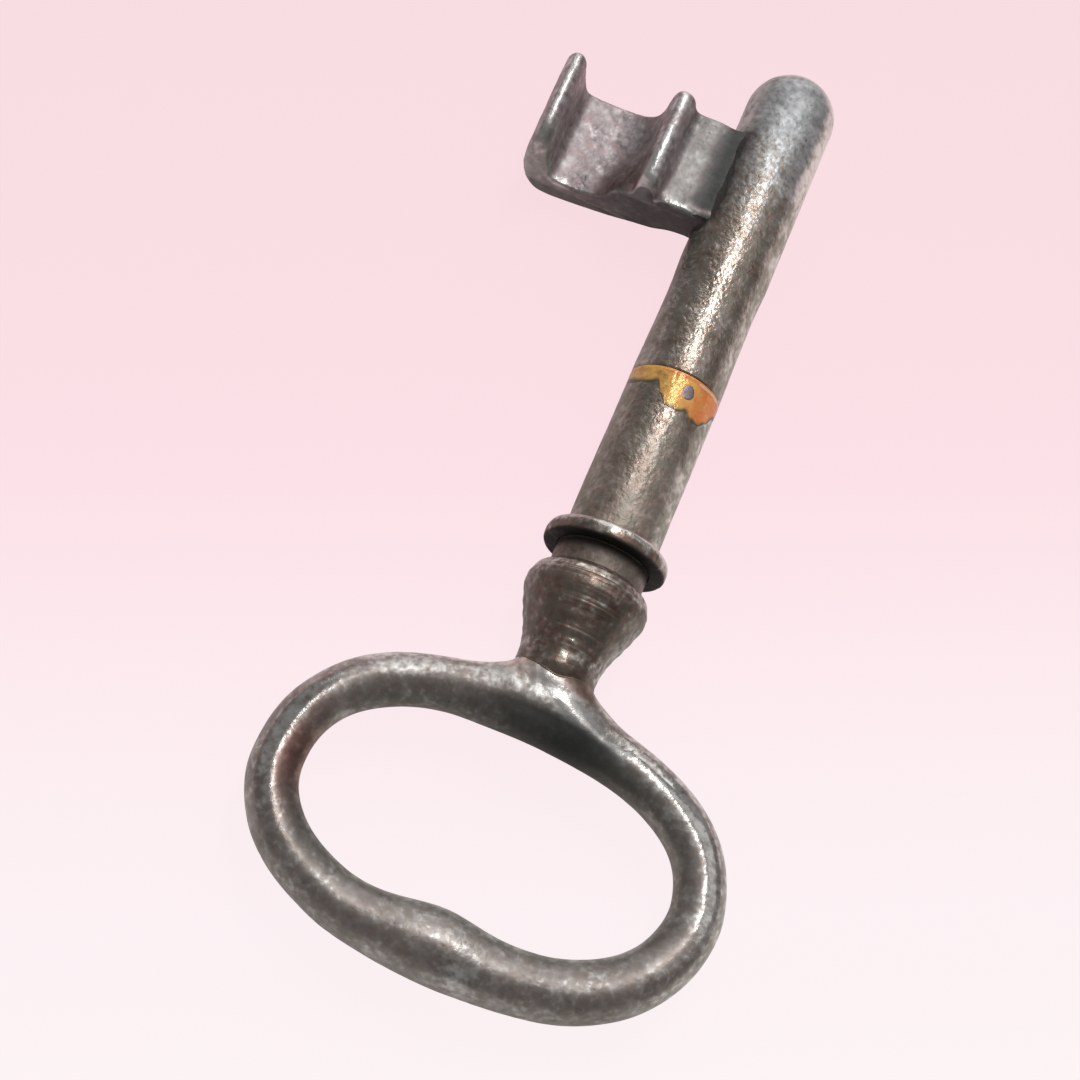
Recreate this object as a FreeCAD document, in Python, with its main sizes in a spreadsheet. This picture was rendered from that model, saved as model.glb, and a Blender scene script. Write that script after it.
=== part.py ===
import FreeCAD, Part
import Sketcher
import math
import os

# An old door key: a forged oval bow, a turned baluster and collar, a round shank in two
# lengths brazed end to end over a pinned spigot, and a filed bit let into the shank.
# The shank's axis is Y. The origin is on it, in the plane of the bit's far end, where the
# plain pilot of the tip begins. The tip points to +Y, the bow to -Y, the bit to -X.

os.makedirs("parts", exist_ok=True)
doc = FreeCAD.newDocument("DoorKey")

# Driving sizes, in millimetres. Angles are in degrees.
SIZES = [
    # front length of the shank
    ("pilot_radius", 5.38),
    ("pilot_length", 6.0),
    ("barrel_swell", 0.04),
    ("waist_radius", 5.22),
    ("waist_run", 9.0),
    ("flare_run", 2.0),
    ("seam_run", 20.1),
    ("spigot_radius", 2.6),
    ("spigot_length", 7.0),
    # rear length of the shank
    ("seam_radius", 5.36),
    ("grip_run", 20.45),
    ("shank_radius", 5.53),
    ("neck_length", 2.75),
    ("tenon_radius", 3.0),
    ("tenon_length", 5.6),
    ("fit_gap", 0.02),
    ("blind_gap", 0.4),
    # braze and pin at the seam
    ("band_width", 4.9),
    ("band_depth", 0.25),
    ("pin_radius", 0.8),
    ("pin_setback", 2.1),
    ("pin_lean", 15.0),
    # collar
    ("collar_height", 1.64),
    ("collar_thickness", 2.15),
    ("collar_round", 0.55),
    # baluster
    ("baluster_radius", 7.2),
    ("baluster_length", 11.4),
    ("crown_height", 1.45),
    ("belly_height", 1.6),
    ("foot_radius", 4.62),
    ("foot_height", 1.6),
    ("crown_round", 1.5),
    ("belly_round", 4.0),
    ("foot_round", 6.0),
    # bow
    ("bow_braze_thickness", 0.25),
    ("bow_half_width", 23.45),
    ("bow_upper_reach", 14.1),
    ("bow_lower_reach", 13.3),
    ("side_radius", 2.87),
    ("arm_radius", 3.12),
    ("swell_radius", 4.1),
    ("swell_run", 6.4),
    ("swell_set_in", 0.45),
    ("saddle_radius", 4.3),
    ("saddle_run", 5.6),
    ("saddle_set_out", 0.95),
    ("seat_margin", 0.05),
    ("saddle_half_width", 8.0),
    ("saddle_half_height", 3.9),
    ("tang_length", 5.3),
    # bit
    ("bit_length", 13.0),
    ("bit_reach", 27.0),
    ("root_top", 3.4),
    ("root_bottom", 2.4),
    ("rib_height", 6.8),
    ("floor_drop", 2.45),
    ("flange_height", 5.0),
    ("flange_thickness", 2.3),
    ("bit_drop", 6.7),
    ("rib_round", 1.15),
    ("rib_foot_round", 1.0),
    ("floor_round", 3.2),
    ("flange_foot_round", 1.2),
    ("flange_round", 0.85),
    ("corner_round", 2.4),
    ("bit_tenon_thickness", 3.0),
    ("bit_tenon_inset", 1.5),
    ("bit_tenon_depth", 2.6),
    ("bit_braze_leg", 1.1),
]

sheet = doc.addObject("Spreadsheet::Sheet", "Sizes")
for row, (alias, length) in enumerate(SIZES, start=1):
    sheet.set(f"A{row}", str(length))
    sheet.setAlias(f"A{row}", alias)
doc.recompute()


class Size:
    """A length that knows both its value and how the sheet's cells work it out."""

    def __init__(self, value, words):
        self.value = value
        self.words = words

    def __add__(self, other):
        return Size(self.value + other.value, f"({self.words} + {other.words})")

    def __sub__(self, other):
        return Size(self.value - other.value, f"({self.words} - {other.words})")

    def __mul__(self, share):
        return Size(self.value * share, f"({self.words} * {share:.9f})")

    def __neg__(self):
        return Size(-self.value, f"(-1 * {self.words})")


def size(alias):
    return Size(float(sheet.get(alias)), f"Sizes.{alias}")


def cosine(angle):
    return math.cos(math.radians(angle.value))


def sine(angle):
    return math.sin(math.radians(angle.value))


ZERO = Size(0.0, "0")

# Stations along the shank's axis, from the tip back to the bow.
BIT_FAR = ZERO
BIT_NEAR = -size("bit_length")
FLARE = BIT_NEAR - size("flare_run")
WAIST = BIT_NEAR - size("waist_run")
SEAM = BIT_NEAR - size("seam_run")
BAND_BACK = SEAM - size("band_width")
PIN = SEAM - size("pin_setback")
STOP = SEAM - size("grip_run")
COLLAR_BACK = STOP - size("collar_thickness")
SHOULDER = COLLAR_BACK - size("neck_length")
FOOT = SHOULDER - size("baluster_length")
SADDLE = FOOT - size("bow_braze_thickness")
SADDLE_RISE = size("saddle_radius") + size("saddle_set_out") + size("seat_margin")
BOW_TOP = SADDLE - SADDLE_RISE
BOW_CENTRE = BOW_TOP - size("bow_upper_reach")

# The barrel behind the pilot is a hair fuller than the pilot.
BARREL = size("pilot_radius") + size("barrel_swell")

# The pin and its holes are worked out past the round of the shank at the seam.
PIN_REACH = size("seam_radius") + size("pin_radius")


def bind(thing, name, length):
    """Ties a property of a feature to the sheet."""
    thing.setExpression(name, length.words)


def place(thing, x, y, z, axis="0; 0; 1", angle="0"):
    """Ties a feature's place and turn to the sheet."""
    spot = f"vector({x.words}; {y.words}; {z.words})"
    thing.setExpression("Placement", f"placement({spot}; rotation(vector({axis}); {angle}))")


def new_body(label):
    body = doc.addObject("PartDesign::Body", label)
    body.Label = label
    return body


def outline(body, name, plane, corners):
    """A closed outline of straight sides through corners, on one of the body's own planes.

    A corner is (across, along). A radius after them makes the side that leads to it an arc,
    with its centre to the left of the way it runs.
    """
    sketch = body.newObject("Sketcher::SketchObject", name)
    origin_plane = [item for item in body.Origin.OriginFeatures if item.Role == plane][0]
    sketch.AttachmentSupport = [(origin_plane, "")]
    sketch.MapMode = "FlatFace"
    spots = [FreeCAD.Vector(across.value, along.value, 0) for across, along, *_ in corners]
    arcs = [arc for _, _, *arc in corners]
    count = len(corners)
    starts = []
    ends = []
    for index in range(count):
        goal = (index + 1) % count
        if not arcs[goal]:
            sketch.addGeometry(Part.LineSegment(spots[index], spots[goal]), False)
            starts.append((index, 1))
            ends.append((index, 2))
            continue
        radius = arcs[goal][0].value
        middle = (spots[index] + spots[goal]) * 0.5
        run = spots[goal] - spots[index]
        rise = math.sqrt(max(radius**2 - (run.Length / 2) ** 2, 0.0))
        side = FreeCAD.Vector(-run.y, run.x, 0).normalize()
        centre = middle + side * rise
        circle = Part.Circle(centre, FreeCAD.Vector(0, 0, 1), radius)
        first = circle.parameter(spots[index])
        last = circle.parameter(spots[goal])
        sketch.addGeometry(Part.ArcOfCircle(circle, first, last), False)
        starts.append((index, 1))
        ends.append((index, 2))
    for index in range(count):
        goal = (index + 1) % count
        sketch.addConstraint(Sketcher.Constraint("Coincident", *ends[index], *starts[goal]))
    for index, (across, along, *arc) in enumerate(corners):
        for kind, length in (("DistanceX", across), ("DistanceY", along)):
            number = sketch.addConstraint(
                Sketcher.Constraint(kind, -1, 1, *starts[index], length.value)
            )
            sketch.setExpression(f"Constraints[{number}]", length.words)
        for radius in arc:
            side = (index - 1) % count
            number = sketch.addConstraint(Sketcher.Constraint("Radius", side, radius.value))
            sketch.setExpression(f"Constraints[{number}]", radius.words)
    doc.recompute()
    return sketch


def turned(label, corners):
    """A body turned about the shank's axis from half of its section."""
    body = new_body(label)
    sketch = outline(body, f"{label}_section", "XY_Plane", corners)
    turn = body.newObject("PartDesign::Revolution", f"{label}_turned")
    turn.Profile = sketch
    turn.ReferenceAxis = (sketch, ["V_Axis"])
    turn.Angle = 360
    doc.recompute()
    return body


def milled(label, corners, far, length):
    """A body with the same section, across the shank, over a length that ends at far."""
    body = new_body(label)
    sketch = outline(body, f"{label}_section", "XZ_Plane", corners)
    bind(sketch, "AttachmentOffset.Base.z", -far)
    pad = body.newObject("PartDesign::Pad", f"{label}_pad")
    pad.Profile = sketch
    bind(pad, "Length", length)
    doc.recompute()
    return body


def seat_on_barrel(body, name):
    """Cuts the taper of the shank's barrel, and a fitting gap, out of what sits on it."""
    gap = size("fit_gap")
    sketch = outline(
        body,
        f"{name}_section",
        "XY_Plane",
        [
            (ZERO, FLARE),
            (BARREL + gap, FLARE),
            (size("pilot_radius") + gap, BIT_FAR),
            (ZERO, BIT_FAR),
        ],
    )
    seat = body.newObject("PartDesign::Groove", name)
    seat.Profile = sketch
    seat.ReferenceAxis = (sketch, ["V_Axis"])
    seat.Angle = 360
    doc.recompute()
    return seat


def round_edges(body, name, radius, chosen):
    """Rounds the edges of the body's last feature that the test picks."""
    base = body.Tip
    names = [
        f"Edge{number}"
        for number, edge in enumerate(base.Shape.Edges, start=1)
        if chosen(edge)
    ]
    fillet = body.newObject("PartDesign::Fillet", name)
    fillet.Base = (base, names)
    bind(fillet, "Radius", radius)
    doc.recompute()
    return fillet


def near(value, length):
    """Says if a place lies on a named length, to a hair's breadth beside the pilot's size."""
    return abs(value - length.value) < size("pilot_radius").value / 1000


def ring_edge(radius, station):
    """Picks the round edge of a turned body at a radius and a station."""

    def chosen(edge):
        box = edge.BoundBox
        return (
            near(box.XMax, radius)
            and near(box.YMax, station)
            and near(box.YMin, station)
        )

    return chosen


def long_edge(across, up):
    """Picks the edge of a milled body that runs along the shank at a place in its section."""

    def chosen(edge):
        box = edge.BoundBox
        return (
            near(box.XMax, across)
            and near(box.XMin, across)
            and near(box.ZMax, up)
            and near(box.ZMin, up)
        )

    return chosen


def drill(body, name, radius):
    """Drills the cross pin's hole right through a body, square to the shank and leaning."""
    hole = body.newObject("PartDesign::SubtractiveCylinder", name)
    bind(hole, "Radius", radius)
    set_on_pin_axis(hole)
    doc.recompute()
    return hole


def set_on_pin_axis(cylinder):
    """Centres a cylinder on the shank's axis at the pin, leaning by the pin's angle."""
    lean = size("pin_lean")
    reach = PIN_REACH
    bind(cylinder, "Height", reach * 2)
    place(
        cylinder,
        Size(-reach.value * sine(lean), f"(-1 * {reach.words} * sin({lean.words}))"),
        PIN,
        Size(-reach.value * cosine(lean), f"(-1 * {reach.words} * cos({lean.words}))"),
        "0; 1; 0",
        lean.words,
    )


def cylinder_along_shank(label, radius, low, length):
    """A plain round bar on the shank's axis, from the station low towards the tip."""
    bar = doc.addObject("Part::Cylinder", label)
    bind(bar, "Radius", radius)
    bind(bar, "Height", length)
    place(bar, ZERO, low, ZERO, "1; 0; 0", "-90")
    return bar


def cut(label, base, tool):
    result = doc.addObject("Part::Cut", label)
    result.Label = label
    result.Base = base
    result.Tool = tool
    return result


def make_front_shank():
    """The front length: spigot, waisted barrel that tapers a hair to the pilot, and domed
    tip, with the bit's slot."""
    pilot = size("pilot_radius")
    tip = size("pilot_length") + pilot
    spigot_end = SEAM - size("spigot_length")
    body = turned(
        "front_shank",
        [
            (ZERO, spigot_end),
            (size("spigot_radius"), spigot_end),
            (size("spigot_radius"), SEAM),
            (size("seam_radius"), SEAM),
            (size("waist_radius"), WAIST),
            (BARREL, FLARE),
            (pilot, BIT_FAR),
            (pilot, size("pilot_length")),
            (ZERO, tip, pilot),
        ],
    )
    drill(body, "spigot_pin_hole", size("pin_radius") + size("fit_gap"))
    slot = body.newObject("PartDesign::SubtractiveBox", "bit_slot")
    gap = size("fit_gap")
    depth = size("bit_tenon_depth") + gap
    width = size("bit_length") - size("bit_tenon_inset") * 2 + gap * 2
    height = size("bit_tenon_thickness") + gap * 2
    bind(slot, "Length", depth + depth)
    bind(slot, "Width", width)
    bind(slot, "Height", height)
    place(slot, -BARREL - depth, BIT_NEAR + size("bit_tenon_inset") - gap, -height * 0.5)
    doc.recompute()
    return body


def make_rear_shank():
    """The rear length: tenon, neck, grip and the socket for the front length's spigot."""
    band = size("seam_radius") - size("band_depth")
    socket = size("spigot_radius") + size("fit_gap")
    socket_floor = SEAM - size("spigot_length") - size("blind_gap")
    tenon_end = SHOULDER - size("tenon_length")
    body = turned(
        "rear_shank",
        [
            (ZERO, tenon_end),
            (size("tenon_radius"), tenon_end),
            (size("tenon_radius"), SHOULDER),
            (size("shank_radius"), SHOULDER),
            (size("shank_radius"), STOP),
            (size("seam_radius"), BAND_BACK),
            (band, BAND_BACK),
            (band, SEAM),
            (socket, SEAM),
            (socket, socket_floor),
            (ZERO, socket_floor),
        ],
    )
    drill(body, "socket_pin_hole", size("pin_radius") + size("fit_gap"))
    return body


def make_shank_braze():
    """The band of brazing metal that fills the turned step behind the seam."""
    band = size("seam_radius") - size("band_depth") + size("fit_gap")
    outer = cylinder_along_shank("band_outside", size("seam_radius"), BAND_BACK, size("band_width"))
    inner = cylinder_along_shank("band_inside", band, BAND_BACK, size("band_width"))
    hole = doc.addObject("Part::Cylinder", "band_pin_hole")
    bind(hole, "Radius", size("pin_radius") + size("fit_gap"))
    set_on_pin_axis(hole)
    return cut("shank_braze", cut("band_sleeve", outer, inner), hole)


def make_cross_pin():
    """The pin through socket and spigot, filed off flush with the round of the shank."""
    bar = doc.addObject("Part::Cylinder", "pin_bar")
    bind(bar, "Radius", size("pin_radius"))
    set_on_pin_axis(bar)
    envelope = cylinder_along_shank(
        "pin_envelope", size("seam_radius"), BAND_BACK, size("band_width")
    )
    pin = doc.addObject("Part::Common", "cross_pin")
    pin.Label = "cross_pin"
    pin.Base = bar
    pin.Tool = envelope
    return pin


def make_collar():
    """The flat stop ring on the shank, its two outer edges rounded."""
    bore = size("shank_radius") + size("fit_gap")
    rim = size("shank_radius") + size("collar_height")
    body = turned(
        "collar",
        [(bore, COLLAR_BACK), (rim, COLLAR_BACK), (rim, STOP), (bore, STOP)],
    )
    back = ring_edge(rim, COLLAR_BACK)
    front = ring_edge(rim, STOP)
    round_edges(body, "collar_rims", size("collar_round"), lambda edge: back(edge) or front(edge))
    return body


def make_baluster():
    """The turned baluster: a low crown, a rounded belly and a long taper to a slim foot."""
    bore = size("tenon_radius") + size("fit_gap")
    belly = size("baluster_radius")
    foot = size("foot_radius")
    crown = SHOULDER - size("crown_height")
    belly_end = crown - size("belly_height")
    foot_start = FOOT + size("foot_height")
    body = turned(
        "baluster",
        [
            (bore, FOOT),
            (foot, FOOT),
            (foot, foot_start),
            (belly, belly_end),
            (belly, crown),
            (size("shank_radius"), SHOULDER),
            (bore, SHOULDER),
        ],
    )
    round_edges(body, "crown_edge", size("crown_round"), ring_edge(belly, crown))
    round_edges(body, "belly_edge", size("belly_round"), ring_edge(belly, belly_end))
    round_edges(body, "foot_hollow", size("foot_round"), ring_edge(foot, foot_start))
    return body


def make_bow_braze():
    """The thin washer of brazing metal between the baluster's foot and the bow's saddle."""
    thickness = size("bow_braze_thickness")
    bore = size("tenon_radius") + size("fit_gap")
    disc = cylinder_along_shank("bow_braze_disc", size("foot_radius"), SADDLE, thickness)
    hole = cylinder_along_shank("bow_braze_hole", bore, SADDLE, thickness)
    return cut("bow_braze", disc, hole)


# The bow's bar follows an oval squarer than an ellipse: OVAL_POWER is the power p of the
# sum |x / half width| ** p + |y / reach| ** p = 1 that the middle of the bar keeps to.
OVAL_POWER = 2.38
BOW_SECTIONS = 32
OVAL_STEPS = 4800
# The bar is a little flatter than round where it swells: its height as shares of its width.
BAR_HEIGHT_SHARE = 0.985
SADDLE_HEIGHT_SHARE = 0.84
SWELL_HEIGHT_SHARE = 0.95


def oval_shares(turn):
    """Where the bar's middle lies at a turn, as shares of the half width and the reach."""
    across = math.copysign(abs(math.sin(turn)) ** (2 / OVAL_POWER), math.sin(turn))
    along = math.copysign(abs(math.cos(turn)) ** (2 / OVAL_POWER), math.cos(turn))
    return across, along


def oval_reach(along):
    return size("bow_upper_reach") if along > 0 else size("bow_lower_reach")


def even_turns():
    """Turns that step evenly along the oval, found by adding up its short chords, each with
    the way the oval faces there, in degrees from X."""
    turns = [2 * math.pi * step / OVAL_STEPS for step in range(OVAL_STEPS + 1)]
    spots = []
    for turn in turns:
        across, along = oval_shares(turn)
        spots.append((across * size("bow_half_width").value, along * oval_reach(along).value))
    runs = [0.0]
    for before, after in zip(spots, spots[1:]):
        runs.append(runs[-1] + math.dist(before, after))
    chosen = []
    step = 0
    for section in range(BOW_SECTIONS):
        while runs[step] < runs[-1] * section / BOW_SECTIONS:
            step += 1
        before = spots[step - 1] if step else spots[-2]
        after = spots[(step + 1) % OVAL_STEPS]
        facing = math.degrees(math.atan2(after[0] - before[0], before[1] - after[1]))
        chosen.append((turns[step], facing))
    return chosen


def bell(across, run):
    """How much of a swelling is left at a distance from its middle: a bell curve."""
    return math.exp(-((across.value / run.value) ** 2))


# How the stem spreads from the baluster's foot into the bar: shares of the saddle's rise
# downwards, of the widening to the shoulders, and of the thinning to the bar's height.
STEM_SHARES = [
    (0.0, 0.0, 0.0),
    (0.16, 0.16, 0.24),
    (0.32, 0.56, 0.58),
    (0.48, 0.96, 0.93),
    (0.80, 1.06, 1.0),
]


def make_stem():
    """The stem between the baluster's foot and the bar, round above and spread below."""
    foot = size("foot_radius")
    levels = []
    for down, widening, thinning in STEM_SHARES:
        level = doc.addObject("Part::Ellipse", "stem_section")
        width = foot + (size("saddle_half_width") - foot) * widening
        height = foot + (size("saddle_half_height") - foot) * thinning
        bind(level, "MajorRadius", width)
        bind(level, "MinorRadius", height)
        place(level, ZERO, SADDLE - SADDLE_RISE * down, ZERO, "1; 0; 0", "90")
        levels.append(level)
    stem = doc.addObject("Part::Loft", "bow_stem")
    stem.Sections = levels
    stem.Solid = True
    return stem


def make_bow():
    """The forged bow: a round bar round an oval, swollen at its far middle and, more, where
    it rises to the foot of the baluster, with the tang that runs up inside the baluster."""
    sections = []
    for turn, facing in even_turns():
        across, along = oval_shares(turn)
        middle = size("bow_half_width") * across
        spot_along = BOW_CENTRE + oval_reach(along) * along
        radius = size("side_radius") + (size("arm_radius") - size("side_radius")) * along**2
        height_share = BAR_HEIGHT_SHARE
        if along > 0:
            share = bell(middle, size("saddle_run"))
            radius = radius + (size("saddle_radius") - size("arm_radius")) * share
            spot_along = spot_along + size("saddle_set_out") * share
            height_share = height_share + (SADDLE_HEIGHT_SHARE - BAR_HEIGHT_SHARE) * share
        else:
            share = bell(middle, size("swell_run"))
            radius = radius + (size("swell_radius") - size("arm_radius")) * share
            spot_along = spot_along + size("swell_set_in") * share
            height_share = height_share + (SWELL_HEIGHT_SHARE - BAR_HEIGHT_SHARE) * share
        section = doc.addObject("Part::Ellipse", "bar_section")
        bind(section, "MajorRadius", radius)
        bind(section, "MinorRadius", radius * height_share)
        spot = f"vector({middle.words}; {spot_along.words}; 0)"
        section.setExpression("Placement", f"placement({spot}; rotation({facing:.6f}; 0; 90))")
        sections.append(section)
    ring = doc.addObject("Part::Loft", "bow_ring")
    ring.Sections = sections
    ring.Solid = True
    ring.Closed = True
    stem = make_stem()
    tang_length = size("bow_braze_thickness") + size("tang_length")
    tang = cylinder_along_shank("bow_tang", size("tenon_radius"), SADDLE, tang_length)
    bow = doc.addObject("Part::MultiFuse", "bow")
    bow.Label = "bow"
    bow.Shapes = [ring, stem, tang]
    return bow


def bit_corners():
    """The bit's section, seen along the shank: shares of its reach across, named heights up."""
    reach = size("bit_reach")
    rib_top = size("rib_height")
    flange_top = size("flange_height")
    floor = -size("floor_drop")
    root_inside = -BARREL * 0.72
    flange_inside = -reach + size("flange_thickness")
    return {
        "root_top_inside": (root_inside, size("root_top")),
        "rib_foot_inner": (-reach * 0.378, size("root_top")),
        "rib_inner": (-reach * 0.425, rib_top),
        "rib_outer": (-reach * 0.512, rib_top),
        "rib_foot_outer": (-reach * 0.555, floor * 0.2),
        "floor_inner": (-reach * 0.655, floor),
        "floor_outer": (-reach * 0.845, floor),
        "flange_inner": (flange_inside, flange_top),
        "flange_outer": (-reach * 0.972, flange_top),
        "side_upper": (-reach, flange_top * 0.3),
        "side_lower": (-reach, -size("bit_drop") * 0.25),
        "corner": (-reach * 0.955, -size("bit_drop")),
        "bottom_outer": (-reach * 0.77, -size("bit_drop")),
        "bottom_inner": (-reach * 0.40, -size("bit_drop") * 0.67),
        "root_bottom_outer": (-reach * 0.27, -size("root_bottom")),
        "root_bottom_inside": (root_inside, -size("root_bottom")),
    }


# The tenon starts inside the bit, by a share of its depth in the shank.
TENON_ROOT_SHARE = 0.5


def make_bit():
    """The filed bit: root shelf, rib, hollow floor and end flange, and its tenon."""
    corners = bit_corners()
    body = milled("bit", list(corners.values()), BIT_FAR, size("bit_length"))
    for name, corner_name, radius in (
        ("rib_foot_fillet", "rib_foot_inner", "rib_foot_round"),
        ("rib_inner_round", "rib_inner", "rib_round"),
        ("rib_outer_round", "rib_outer", "rib_round"),
        ("floor_inner_fillet", "floor_inner", "floor_round"),
        ("rib_skirt_fillet", "rib_foot_outer", "floor_round"),
        ("flange_foot_fillet", "floor_outer", "flange_foot_round"),
        ("flange_inner_round", "flange_inner", "flange_round"),
        ("flange_outer_round", "flange_outer", "flange_round"),
        ("lower_corner_round", "corner", "corner_round"),
    ):
        round_edges(body, name, size(radius), long_edge(*corners[corner_name]))
    seat_on_barrel(body, "shank_seat")
    tenon = body.newObject("PartDesign::AdditiveBox", "bit_tenon")
    root = size("bit_tenon_depth") * TENON_ROOT_SHARE
    bind(tenon, "Length", size("bit_tenon_depth") + root)
    bind(tenon, "Width", size("bit_length") - size("bit_tenon_inset") * 2)
    bind(tenon, "Height", size("bit_tenon_thickness"))
    place(
        tenon,
        -BARREL - root,
        BIT_NEAR + size("bit_tenon_inset"),
        -size("bit_tenon_thickness") * 0.5,
    )
    doc.recompute()
    return body


# A bead's section starts inside the shank, by a share of its leg, and its seat is then cut.
BEAD_SUNK_SHARE = 0.5


def make_bit_braze():
    """The beads of brazing metal in the two corners between the bit's root and the shank."""
    barrel = BARREL + size("fit_gap")
    sunk = size("bit_braze_leg") * BEAD_SUNK_SHARE
    run = size("bit_braze_leg") + sunk
    beads = []
    for label, shelf, side in (
        ("upper_bead", size("root_top"), 1),
        ("lower_bead", size("root_bottom"), -1),
    ):
        meet = math.sqrt(barrel.value**2 - shelf.value**2)
        meet_words = f"sqrt(({barrel.words}) ^ 2 - ({shelf.words}) ^ 2)"
        inner = Size(meet, meet_words) - sunk
        seat = (shelf + size("fit_gap")) * side
        corners = [(-inner, seat), (-inner, seat + run * side), (-inner - run, seat)]
        bead = milled(label, corners, BIT_FAR, size("bit_length"))
        seat_on_barrel(bead, f"{label}_seat")
        beads.append(bead)
    pair = doc.addObject("Part::Compound", "bit_braze")
    pair.Label = "bit_braze"
    pair.Links = beads
    return pair


pieces = [
    make_bow(),
    make_bow_braze(),
    make_baluster(),
    make_collar(),
    make_rear_shank(),
    make_shank_braze(),
    make_cross_pin(),
    make_front_shank(),
    make_bit(),
    make_bit_braze(),
]
doc.recompute()

for thing in doc.Objects:
    if "Invalid" in thing.State or "Error" in thing.State:
        raise RuntimeError(f"{thing.Label} could not be worked out: {thing.State}")
for piece in pieces:
    if piece.Shape.isNull() or not piece.Shape.isValid():
        raise RuntimeError(f"{piece.Label} has no sound shape")

for piece in pieces:
    piece.Shape.exportStep(f"parts/{piece.Label}.step")
    box = piece.Shape.optimalBoundingBox(False, False)
    print(
        f"{piece.Label}: {len(piece.Shape.Solids)} solid, {piece.Shape.Volume:.1f} mm3,"
        f" x {box.XMin:.2f} {box.XMax:.2f} y {box.YMin:.2f} {box.YMax:.2f}"
        f" z {box.ZMin:.2f} {box.ZMax:.2f}"
    )
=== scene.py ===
import math

import bpy
import numpy as np
from mathutils import Matrix, Vector
from mathutils.geometry import tessellate_polygon


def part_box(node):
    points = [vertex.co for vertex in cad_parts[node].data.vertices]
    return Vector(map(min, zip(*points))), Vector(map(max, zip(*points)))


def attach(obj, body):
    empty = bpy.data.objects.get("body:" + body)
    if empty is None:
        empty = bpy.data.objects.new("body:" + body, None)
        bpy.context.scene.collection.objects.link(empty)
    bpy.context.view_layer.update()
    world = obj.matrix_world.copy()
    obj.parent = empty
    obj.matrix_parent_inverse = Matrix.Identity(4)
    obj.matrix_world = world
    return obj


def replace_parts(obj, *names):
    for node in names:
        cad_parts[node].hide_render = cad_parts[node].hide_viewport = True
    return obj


# An old door key of forged, turned and filed steel, brown with age. The shapes are in
# millimetres in the CAD frame: the shank's axis is Y, the tip points to +Y, the bow to -Y,
# the bit to -X, and Z is up from the floor that the key lies on.

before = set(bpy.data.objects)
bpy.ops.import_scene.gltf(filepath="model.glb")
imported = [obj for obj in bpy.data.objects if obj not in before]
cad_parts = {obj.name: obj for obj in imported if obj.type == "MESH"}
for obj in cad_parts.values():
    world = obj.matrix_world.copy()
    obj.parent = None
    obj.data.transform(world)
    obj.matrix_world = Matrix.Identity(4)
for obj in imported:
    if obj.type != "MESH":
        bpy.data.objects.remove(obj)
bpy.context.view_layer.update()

MM = 0.001

low = {name: np.array(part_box(name)[0]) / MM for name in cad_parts}
high = {name: np.array(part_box(name)[1]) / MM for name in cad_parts}

# Stations along the shank, and the sizes that the turned pieces share.
BIT_NEAR = low["bit"][1]
SEAM = high["rear_shank"][1]
BAND_BACK = low["shank_braze"][1]
STOP = high["collar"][1]
COLLAR_BACK = low["collar"][1]
SHOULDER = high["baluster"][1]
FOOT = low["baluster"][1]
TIP = high["front_shank"][1]
SHANK_RADIUS = high["rear_shank"][0]
SEAM_RADIUS = high["shank_braze"][0]
BARREL_RADIUS = high["front_shank"][0]
PILOT_RADIUS = 5.38
WAIST_RADIUS = 5.22
COLLAR_RADIUS = high["collar"][0]
FOOT_RADIUS = high["bow_braze"][0]
FOOT_ROUND = 1.85  # how far the baluster's foot is rounded down onto the bow
TENON_RADIUS = 2.98  # of the shank's end inside the baluster


# Shapes


def ease(x):
    """A smooth step: 0 below 0, 1 above 1, and 3x^2 - 2x^3 between."""
    x = np.clip(x, 0, 1)
    return x * x * (3 - 2 * x)


def through(x, stations):
    """A smooth line through (place, value) stations: an eased step from each to the next."""
    places, values = np.array(stations, float).T
    number = np.clip(np.searchsorted(places, x) - 1, 0, len(places) - 2)
    part = (x - places[number]) / (places[number + 1] - places[number])
    return values[number] + (values[number + 1] - values[number]) * ease(part)


def bell(distance, run):
    """A bell curve: e to the power of minus the distance over its run, squared."""
    return np.exp(-((distance / run) ** 2))


def circle(count):
    """Angles evenly round a circle."""
    return np.linspace(0, 2 * np.pi, count, endpoint=False)


def spots(*parts):
    """Points from their X, Y and Z, or an outline's two, each one value or an array."""
    return np.stack(np.broadcast_arrays(*parts), axis=-1)


def unit(way):
    """A way with a length of 1, or 0 where it has none."""
    return way / np.maximum(np.linalg.norm(way, axis=-1, keepdims=True), 1e-9)


def hills(points, spacing, seed):
    """Smooth unevenness from -1 to 1: seeded random heights on a lattice with the given
    spacing in millimetres, blended between its corners by eased steps."""
    heights = np.random.default_rng(seed).uniform(-1, 1, (32, 32, 32))
    cell = np.floor(points / spacing)
    part = ease(points / spacing - cell)
    cell = cell.astype(int)
    total = 0.0
    for corner in np.ndindex(2, 2, 2):
        share = np.prod(np.where(np.array(corner) == 1, part, 1 - part), axis=-1)
        x, y, z = ((cell[..., axis] + corner[axis]) % 32 for axis in range(3))
        total = total + share * heights[x, y, z]
    return total


def rough(points, seed, broad=0.05, fine=0.014, pits=0.0):
    """How far an old surface stands off its true shape, in millimetres: broad hills 4 mm
    apart, fine ones 0.9 mm apart, and pits where two sets of hills both run low."""
    uneven = broad * hills(points, 4.0, seed) + fine * hills(points, 0.9, seed + 1)
    low_spots = hills(points, 0.55, seed + 2) + hills(points, 1.4, seed + 3)
    return uneven - pits * ease((-0.75 - low_spots) / 0.4)


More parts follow.
